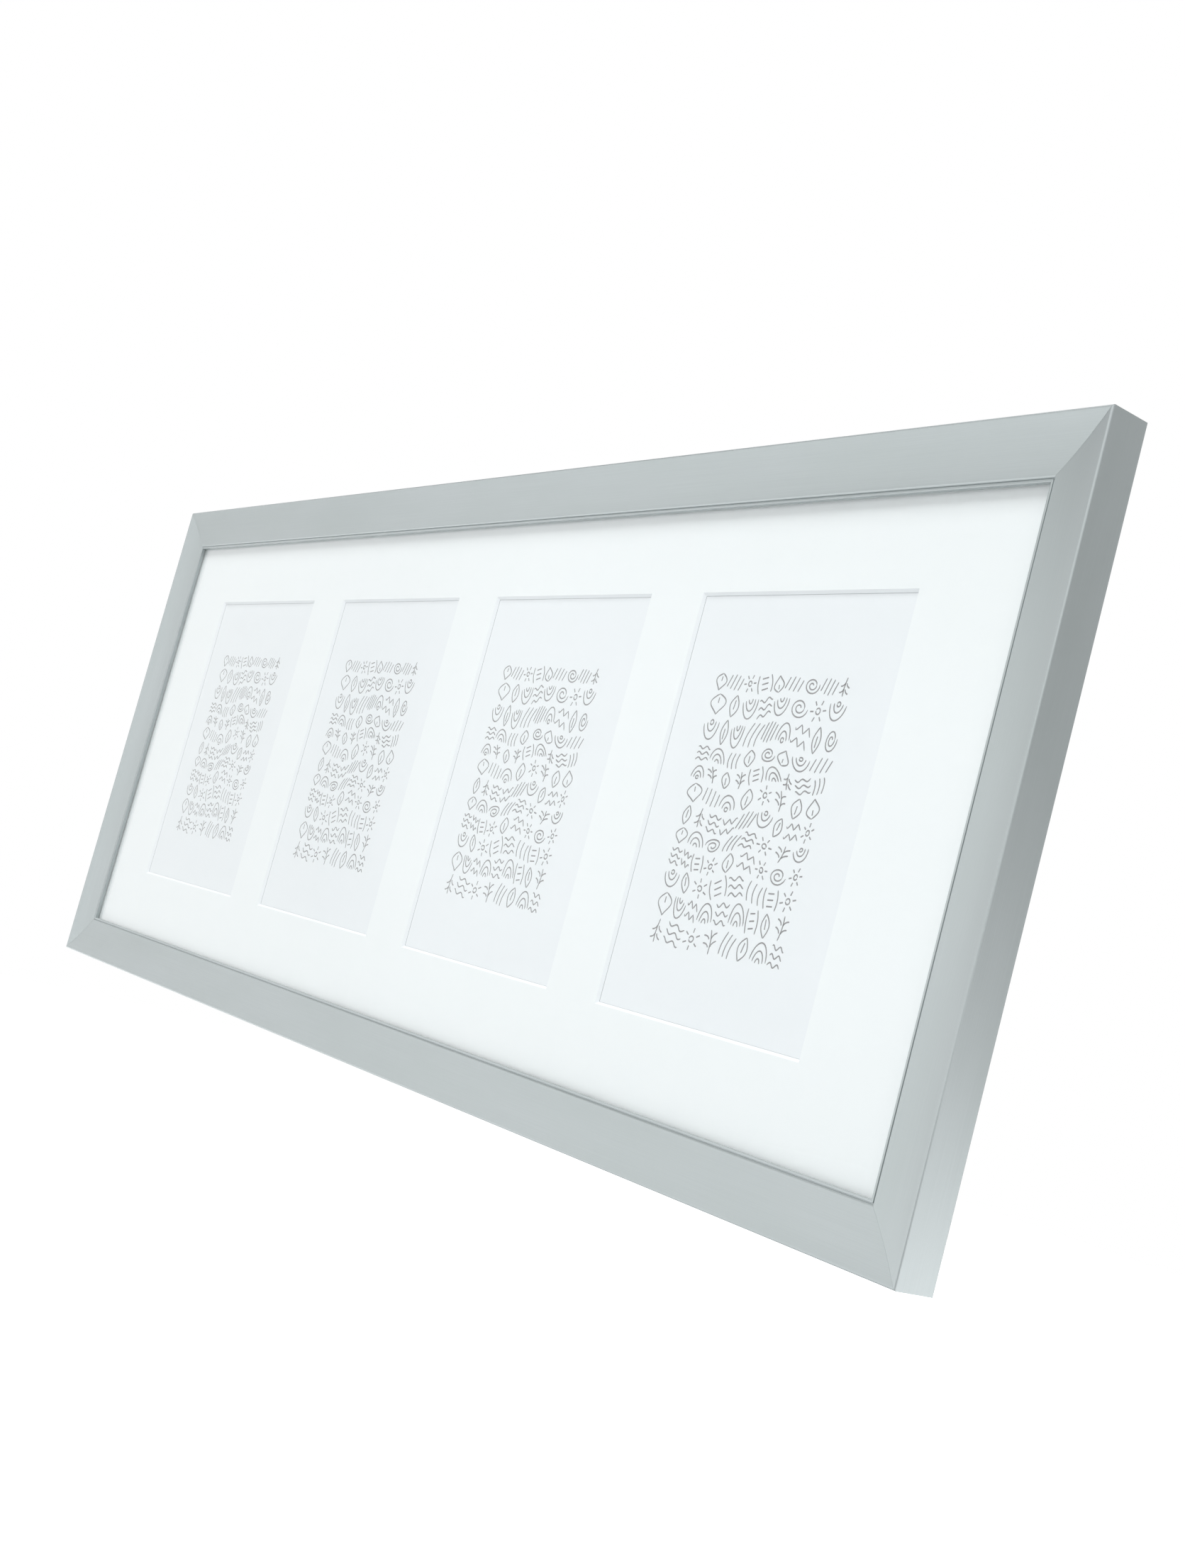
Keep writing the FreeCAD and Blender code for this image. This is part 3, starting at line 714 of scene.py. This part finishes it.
def pattern_strokes():
    """Strokes (count, points, 2) of motifs that each fill a cell of uneven rows. All drift in
    slow waves that die out as cos(pi u) cos(pi v) at the block's edges."""
    chance = np.random.default_rng(PATTERN_SEED)
    strokes, pick = [], 0
    rows = uneven_edges(chance, PATTERN_ROWS, PATTERN_HEIGHT)
    for row, (low, high) in enumerate(zip(rows, rows[1:])):
        cells = uneven_edges(chance, PATTERN_COLUMNS + row % 2, PATTERN_WIDTH)
        for left, right in zip(cells, cells[1:]):
            pick = (pick + chance.integers(*MOTIF_LEAP)) % len(MOTIFS)
            turn = chance.uniform(-MOTIF_TILT, MOTIF_TILT) + math.pi * chance.integers(0, 2)
            cosine, sine = math.cos(turn), math.sin(turn)
            spin = np.array(((cosine, sine), (-sine, cosine)))
            half = np.array((right - left, high - low)) / 2 - MOTIF_MARGIN
            centre = ((left + right) / 2, (low + high) / 2)
            strokes.append(np.array(MOTIFS[pick]()) @ spin * half + centre)
    strokes = np.concatenate(strokes)
    u, v = strokes[..., 0] / PATTERN_WIDTH, strokes[..., 1] / PATTERN_HEIGHT
    fade = np.cos(math.pi * u) * np.cos(math.pi * v)
    return strokes + fade[..., None] * points_at(drift(v, *DRIFT_X), drift(u, *DRIFT_Z))


def add_print_lines(node, strokes):
    """Raised ink: each stroke is a flat bar whose sides stand half the ink's width off its line,
    along the line's normal, and draw in at both ends. Its back lies under the paper's face."""
    low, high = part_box(node)
    tangent = unit(np.gradient(strokes, axis=1))
    normal = points_at(-tangent[..., 1], tangent[..., 0])
    half = np.full(STROKE_POINTS, INK_WIDTH / 2)
    half[[0, -1]] *= INK_END_SHARE
    offset = normal * half[:, None]
    middle = ((low[X] + high[X]) / 2 + PATTERN_OFFSET[0], MID_HEIGHT + PATTERN_OFFSET[1])
    points = np.empty((len(strokes), STROKE_POINTS, 4, 3))
    for corner, (sign, rise) in enumerate(((-1, INK_THICKNESS), (1, INK_THICKNESS),
                                           (1, -INK_SINK), (-1, -INK_SINK))):
        points[:, :, corner, [X, Z]] = strokes + sign * offset + middle
        points[:, :, corner, Y] = PRINT_FRONT - rise
    last = 4 * STROKE_POINTS - 1
    caps = [[0, 1, 2, 3], [last, last - 1, last - 2, last - 3]]
    bar = np.concatenate((grid_quads(STROKE_POINTS, 4), caps))
    faces = bar[None] + 4 * STROKE_POINTS * np.arange(len(strokes))[:, None, None]
    add_piece("print_lines_" + node[-1], (points.reshape(-1, 3), faces.reshape(-1, 4).tolist()),
              (INK,), FRAME_BODY)


# ------------------------------------------------------------ glass
def glass_sheet():
    """Cut sheet with its edges ground at 45 degrees, its back a hair clear of the mat."""
    low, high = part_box("glass_pane")
    back = high[Y] - GLASS_REST
    loops = []
    for y, inset in ((low[Y], GLASS_GRIND), (low[Y] + GLASS_GRIND, 0.0),
                     (back - GLASS_GRIND, 0.0), (back, GLASS_GRIND)):
        left, right = low[X] + inset, high[X] - inset
        bottom, top = low[Z] + inset, high[Z] - inset
        loops.append([(left, y, bottom), (right, y, bottom), (right, y, top), (left, y, top)])
    return tube(np.array(loops))


# ------------------------------------------------------------ hardware
def button_outline():
    """Stadium round the pivot: two half rounds joined by straight sides, as (x, z) points."""
    half_round = BUTTON_HALF_WIDTH * polar(np.linspace(0, math.pi, 25))
    rise = np.linspace(0, BUTTON_STRAIGHT, 14)[1:-1]
    return np.concatenate((points_at(BUTTON_HALF_WIDTH, rise), half_round + (0, BUTTON_STRAIGHT),
                           points_at(-BUTTON_HALF_WIDTH, rise[::-1]), -half_round))


def add_turn_button(body):
    """Stamped leaf. Rings run from the hole out to the stadium, over its rolled edge and back
    below; a raised rib along the leaf follows a cosine across its width."""
    pivot = PIVOTS[body]
    outline = button_outline()
    inner = outline * (1 - BUTTON_EDGE / BUTTON_HALF_WIDTH)
    hole = unit(outline) * BUTTON_HOLE
    flat = BUTTON_SHEET - RIB_RISE
    loops = []
    for share in np.linspace(0, 1, 12):
        ring = hole + (inner - hole) * share
        across = np.clip(np.abs(ring[:, 0]) / RIB_HALF_WIDTH, 0, 1)
        onward = (np.clip((ring[:, 1] - RIB_START) / RIB_RAMP, 0, 1)
                  * np.clip((RIB_END - ring[:, 1]) / RIB_RAMP, 0, 1))
        loops.append((ring, flat + RIB_RISE * (0.5 + 0.5 * np.cos(math.pi * across)) * onward))
    for angle in np.linspace(0, math.pi / 2, 4)[1:]:
        ring = outline * (1 - BUTTON_EDGE * (1 - math.sin(angle)) / BUTTON_HALF_WIDTH)
        loops.append((ring, flat - BUTTON_EDGE * (1 - math.cos(angle))))
    loops += [(outline, BUTTON_EDGE), (inner, 0.0), (hole, 0.0)]
    low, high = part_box(body)
    tip_x, tip_z = unit(np.array(((low[X] + high[X]) / 2 - pivot[X],
                                  (low[Z] + high[Z]) / 2 - pivot[Z])))
    spin = np.array(((tip_z, -tip_x), (tip_x, tip_z)))
    rings = []
    for ring, height in loops:
        x, z = (ring @ spin).T
        rings.append(points_at(pivot[X] + x, BACK + BUTTON_PLAY + height, pivot[Z] + z))
    add_piece(body.replace("turn_button", "button_leaf"), tube(np.array(rings), close_rows=True),
              (ZINC,), body, (body,), crease=50)


def screw_head(x, seat, z, size, turn):
    """Pan head with a cross recess on a polar grid: the crown falls off as the square of the
    radius with a rounded rim, and the recess sinks where a point is near either arm's middle."""
    radius, height = size
    share = np.concatenate((np.linspace(0.03, 0.62, 14), np.linspace(0.68, 1.0, 12)))[:, None]
    u, v = radius * share * circle(72).T[:, None]
    crown = height * (1 - HEAD_DOME * share ** 2)
    over_rim = np.clip((share - RIM_START) / RIM_WIDTH, 0, 1)
    rim = height * RIM_FALL * (1 - np.sqrt(1 - over_rim ** 2))
    near, far = np.minimum(np.abs(u), np.abs(v)), np.maximum(np.abs(u), np.abs(v))
    arm = np.clip(1 - (near - RECESS_ARM) / RECESS_FLANK, 0, 1)
    end = np.clip(1 - (far - RECESS_REACH) / RECESS_END, 0, 1)
    y = np.clip(crown - rim - RECESS_DEPTH * arm * end, RECESS_FLOOR, height)
    cosine, sine = math.cos(turn), math.sin(turn)
    rings = points_at(x + u * cosine - v * sine, seat + y, z + u * sine + v * cosine)
    skirt = rings[-1:].copy()
    skirt[..., Y] = seat
    return tube(np.concatenate((rings, skirt)))


def hanger_strap(pivot):
    """Sheet carried up the rail's back and rolled round the ring's bar: a straight run and then
    325 degrees of a round. Its width draws in at the lower end along a quarter round."""
    middle = BARREL_RADIUS - HANGER_SHEET / 2
    run = np.concatenate((np.linspace(0, HANGER_END_ROUND, 9)[:-1],
                          np.linspace(HANGER_END_ROUND, HANGER_LENGTH, 12)))
    y, z = middle * polar(np.radians(np.linspace(*BARREL_ROLL, 48)[1:])).T
    path = np.concatenate((points_at(pivot[X], pivot[Y] - middle, pivot[Z] - HANGER_LENGTH + run),
                           points_at(pivot[X], pivot[Y] + y, pivot[Z] + z)))
    short = np.clip(HANGER_END_ROUND - run, 0, None)
    width = HANGER_HALF_WIDTH - HANGER_END_ROUND + np.sqrt(HANGER_END_ROUND ** 2 - short ** 2)
    scale = np.ones((len(path), 2))
    scale[:len(run), 1] = width / HANGER_HALF_WIDTH
    section = rounded_box(HANGER_SHEET / 2, HANGER_HALF_WIDTH, HANGER_ROUND)
    return tube(sweep(path, section, (1, 0, 0), scale=scale))


def ring_path(pivot):
    """D shape in the plane of X and Z: bar, two corner rounds, short arms and a half round bow."""
    straight = RING_HALF_WIDTH - RING_CORNER
    quarter = polar(np.linspace(math.pi / 2, 0, 9))
    round_right = RING_CORNER * quarter + (straight, -RING_CORNER)
    under = RING_HALF_WIDTH * polar(np.linspace(0, -math.pi, 49)) - (0, RING_CORNER + RING_ARM)
    bar = points_at(np.linspace(-straight, straight, 13)[1:-1], 0.0)
    x, z = np.concatenate((bar, round_right, under, round_right[::-1] * (-1, 1))).T
    return points_at(pivot[X] + x, pivot[Y], pivot[Z] + z)


def bumper(x):
    """Turned stud: its radius narrows evenly to the face, whose edge is a quarter round."""
    edge = (BUMPER_EDGE * polar(np.linspace(0, math.pi / 2, 8))
            + (BUMPER_SHOULDER - BUMPER_EDGE, BUMPER_HEIGHT - BUMPER_EDGE))
    face = [(share * BUMPER_TOP, BUMPER_HEIGHT) for share in (0.6, 0.3, 0.02)]
    profile = np.concatenate(([(BUMPER_CENTRE, 0), (BUMPER_BASE, 0), BUMPER_FOOT], edge, face))
    radius, height = profile[:, :1], profile[:, 1:]
    spoke = circle(48)
    return tube(points_at(x + radius * spoke[:, 0], BACK + height,
                          BUMPER_RISE + radius * spoke[:, 1]))


def mitre_nail(inset, mirror_x, mirror_z):
    """Folded strip: two legs of equal length at 55 degrees to the mitre, bent tightly between."""
    run = np.linspace(NAIL_BEND, NAIL_LEG, 6)[:, None]
    legs = [run * (math.cos(turn), -math.sin(turn))
            for turn in (MITRE_TURN + NAIL_HALF_ANGLE, MITRE_TURN - NAIL_HALF_ANGLE)]
    flat = np.concatenate((legs[0][::-1], legs[1])) + (LEFT + inset, inset)
    flat = flat if mirror_x == mirror_z else flat[::-1]
    x = flat[:, 0] * (-1 if mirror_x else 1)
    z = 2 * MID_HEIGHT - flat[:, 1] if mirror_z else flat[:, 1]
    path = points_at(x, BACK + NAIL_PROUD - NAIL_HEIGHT / 2, z)
    section = rounded_box(NAIL_SHEET / 2, NAIL_HEIGHT / 2, NAIL_ROUND, steps=2)
    return tube(sweep(path, section, (0, 1, 0)))


# ------------------------------------------------------------ dressing the frame
add_rail("bottom", WIDTH, 0.0, (0, BOTTOM), 0.0)
add_rail("top", WIDTH, math.pi, (0, TOP), 2.0)
add_rail("left", HEIGHT, math.pi / 2, (LEFT, MID_HEIGHT), 4.0)
add_rail("right", HEIGHT, -math.pi / 2, (RIGHT, MID_HEIGHT), 6.0)

node_finishes = {"mat_board": mat_card(), "filler_board": filler_card(),
                 "back_panel": brown_hardboard()}
paper = print_paper()
pattern = pattern_strokes()
for node in PRINT_NODES:
    node_finishes[node] = paper
    add_print_lines(node, pattern)
for node, finish in node_finishes.items():
    mesh = frame["nodes"][node].data
    mesh.materials.clear()
    mesh.materials.append(finish)

add_piece("glass_sheet", glass_sheet(), (clear_glass(),), FRAME_BODY,
          ("glass_pane",))

for body in BUTTON_BODIES:
    add_turn_button(body)
button_seat = BACK + BUTTON_SHEET + 2 * BUTTON_PLAY
heads = [screw_head(PIVOTS[body][X], button_seat, PIVOTS[body][Z], BUTTON_HEAD,
                    BUTTON_HEAD_TURN + BUTTON_HEAD_STEP * index)
         for index, body in enumerate(BUTTON_BODIES)]
add_piece("button_screw_heads", merged(heads), (SCREW_STEEL,), FRAME_BODY,
          ("turn_button_screws",), crease=40)

heads = []
for side, body in zip(("left", "right"), RING_BODIES):
    pivot = PIVOTS[body]
    add_piece("hanger_strap_" + side, hanger_strap(pivot), (ZINC,), FRAME_BODY,
              ("hanger_plate_" + side,), crease=50)
    wire = sweep(ring_path(pivot), circle(20, RING_WIRE), (0, 1, 0), close=True)
    add_piece("d_ring_" + side, tube(wire, close_rows=True), (ZINC,), body,
              (body,), crease=60)
    heads += [screw_head(pivot[X], BACK + HANGER_SHEET, pivot[Z] - drop, HANGER_HEAD,
                         HANGER_HEAD_TURN + HANGER_HEAD_STEP * drop) for drop in HANGER_HOLES]
add_piece("hanger_screw_heads", merged(heads), (SCREW_STEEL,), FRAME_BODY,
          ("hanger_screws",), crease=40)

bumper_x = RIGHT - BUMPER_INSET
add_piece("bumper_studs", merged([bumper(-bumper_x), bumper(bumper_x)]), (RUBBER,), FRAME_BODY,
          ("wall_bumpers",), crease=50)
nails = [mitre_nail(inset, mirror_x, mirror_z) for inset in NAIL_INSETS
         for mirror_x in (False, True) for mirror_z in (False, True)]
add_piece("mitre_nails", merged(nails), (NAIL_STEEL,), FRAME_BODY,
          ("corner_v_nails",))

# ------------------------------------------------------------ studio
scene = bpy.context.scene
scene.view_settings.view_transform = "Standard"
AMBIENT = (0.4, 0.4, 0.4)
FLOOR_DROP = 0.55
FLOOR_REACH = 7.0
FLOOR_GLOW = (0.8, 1.7)       # from the middle, where the floor's own white sets in
FLOOR_END = (4.5, 6.9)        # where its lit tone fades, so that no far edge shows in the glass
LEAST_GLOW = 0.16
STUDIO_TARGET = (0.1, 0.0, 0.16)
CARD_EDGE = 0.04
CARD_SIDE_SHARE = 0.75


def seen_directly(nodes, links):
    """1 for camera, glossy and transmission rays, which see the plain white background."""
    rays = nodes.new("ShaderNodeLightPath")
    first, second = nodes.new("ShaderNodeMath"), nodes.new("ShaderNodeMath")
    first.operation = second.operation = "MAXIMUM"
    links.new(rays.outputs["Is Camera Ray"], first.inputs[0])
    links.new(rays.outputs["Is Glossy Ray"], first.inputs[1])
    links.new(first.outputs[0], second.inputs[0])
    links.new(rays.outputs["Is Transmission Ray"], second.inputs[1])
    return second.outputs[0]


def make_world(ambient):
    """White where it is seen, and an even soft light of the ambient strength elsewhere."""
    world = bpy.data.worlds.new("studio")
    world.use_nodes = True
    scene.world = world
    nodes, links = world.node_tree.nodes, world.node_tree.links
    soft, white = nodes["Background"], nodes.new("ShaderNodeBackground")
    soft.inputs["Color"].default_value = (*ambient, 1.0)
    white.inputs["Color"].default_value = (1, 1, 1, 1)
    choose = nodes.new("ShaderNodeMixShader")
    links.new(seen_directly(nodes, links), choose.inputs[0])
    links.new(soft.outputs[0], choose.inputs[1])
    links.new(white.outputs[0], choose.inputs[2])
    links.new(choose.outputs[0], nodes["World Output"].inputs["Surface"])


def rectangle(name, half_width, half_height, level=0.0):
    """Object of one flat face across its own Z."""
    mesh = bpy.data.meshes.new(name)
    corners = [(x, y, level) for x, y in ((-half_width, -half_height), (half_width, -half_height),
                                          (half_width, half_height), (-half_width, half_height))]
    mesh.from_pydata(corners, [], [(0, 1, 2, 3)])
    return bpy.data.objects.new(name, mesh)


def make_floor():
    """Pale floor that keeps the object's shadow near it and fades to plain white further out."""
    floor = rectangle("floor", FLOOR_REACH, FLOOR_REACH, -FLOOR_DROP)
    scene.collection.objects.link(floor)
    finish = Finish("pale_floor", Roughness=0.9, Specular_IOR_Level=0.1,
                    Emission_Color=(1, 1, 1, 1))
    cloud = finish.noise(finish.place(), 2.0)
    pale = finish.blend(cloud, rgb(238, 239, 240), rgb(241, 242, 243))
    length = finish.put("ShaderNodeVectorMath", Vector=finish.place())
    length.operation = "LENGTH"
    distance = length.outputs["Value"]
    seen = seen_directly(finish.nodes, finish.links)
    far = finish.math("MULTIPLY", finish.remap(distance, *FLOOR_END, 0, 1), seen)
    glow = finish.math("MULTIPLY", finish.remap(distance, *FLOOR_GLOW, LEAST_GLOW, 1), seen)
    finish.set(Base_Color=finish.blend(far, pale, (0, 0, 0, 1)), Emission_Strength=glow)
    floor.data.materials.append(finish.material)


def aim(holder, centre, face):
    """Place an object, turn one of its axes to the studio's target and link it, upright."""
    holder.location = centre
    ahead = Vector(STUDIO_TARGET) - Vector(centre)
    holder.rotation_euler = ahead.to_track_quat(face, "Y").to_euler()
    scene.collection.objects.link(holder)


def softbox(name, centre, size, radiance):
    """Rectangular area lamp that faces the frame; its power is radiance x pi x area."""
    lamp = bpy.data.lights.new(name, "AREA")
    lamp.shape = "RECTANGLE"
    lamp.size, lamp.size_y = size
    lamp.energy = radiance * math.pi * size[0] * size[1]
    aim(bpy.data.objects.new(name, lamp), centre, "-Z")


def grey_card(name, centre, size, radiance, fade=CARD_EDGE):
    """Card that only reflections see, with edges that fade out; it shades the satin metal."""
    half_width, half_height = size[0] / 2, size[1] / 2
    card = rectangle(name, half_width, half_height)
    finish = Finish(name)
    place = finish.put("ShaderNodeSeparateXYZ", Vector=finish.place())
    x = finish.math("ABSOLUTE", place.outputs["X"])
    y = finish.math("ABSOLUTE", place.outputs["Y"])
    across = finish.remap(x, half_width * CARD_SIDE_SHARE, half_width, 1, 0)
    upright = finish.remap(y, half_height - fade, half_height, 1, 0)
    finish.mix(finish.math("MULTIPLY", across, upright), finish.put("ShaderNodeBsdfTransparent"),
               finish.put("ShaderNodeEmission", Strength=radiance))
    card.data.materials.append(finish.material)
    card.visible_camera = card.visible_diffuse = False
    card.visible_shadow = card.visible_transmission = False
    aim(card, centre, "Z")


make_world(AMBIENT)
make_floor()
softbox("key_softbox", (0.55, -4.5, 7.2), (5.7, 4.4), 5.9)
softbox("left_softbox", (-5.5, -4.8, 4.8), (4.4, 4.4), 0.3)
softbox("back_softbox", (0.0, 5.7, 5.3), (5.7, 4.4), 1.8)
softbox("low_side_softbox", (1.8, 1.4, -0.35), (1.8, 0.4), 1.9)
softbox("camera_softbox", (1.6, -1.9, 0.75), (1.0, 0.7), 1.2)
grey_card("side_card", (1.9, 1.5, 0.86), (2.8, 1.7), 0.51)
grey_card("upper_left_card", (-1.37, -0.85, 1.22), (1.62, 0.6), 0.02)
grey_card("low_front_card", (1.55, -1.3, -0.4), (2.0, 0.8), 0.1)
grey_card("bright_card", (-0.8, -1.05, 0.3), (1.3, 0.8), 1.4, fade=0.25)

# ------------------------------------------------------------ camera
CAMERA_PLACE = (0.90931, -0.50331, 0.07753)
CAMERA_RIGHT = (0.55410186, 0.79134528, 0.25834815)
CAMERA_UP = (-0.06877881, -0.26576544, 0.9615811)
CAMERA_LENS, CAMERA_SENSOR = 45.007, 36.0


def add_camera():
    """Camera whose axes are the rows of its view: right, up and, behind it, right x up."""
    camera = bpy.data.cameras.new("camera")
    camera.lens, camera.sensor_width = CAMERA_LENS, CAMERA_SENSOR
    holder = bpy.data.objects.new("camera", camera)
    behind = np.cross(CAMERA_RIGHT, CAMERA_UP)
    axes = Matrix((CAMERA_RIGHT, CAMERA_UP, behind.tolist())).transposed()
    holder.matrix_world = Matrix.Translation(CAMERA_PLACE) @ axes.to_4x4()
    scene.collection.objects.link(holder)
    scene.camera = holder


add_camera()
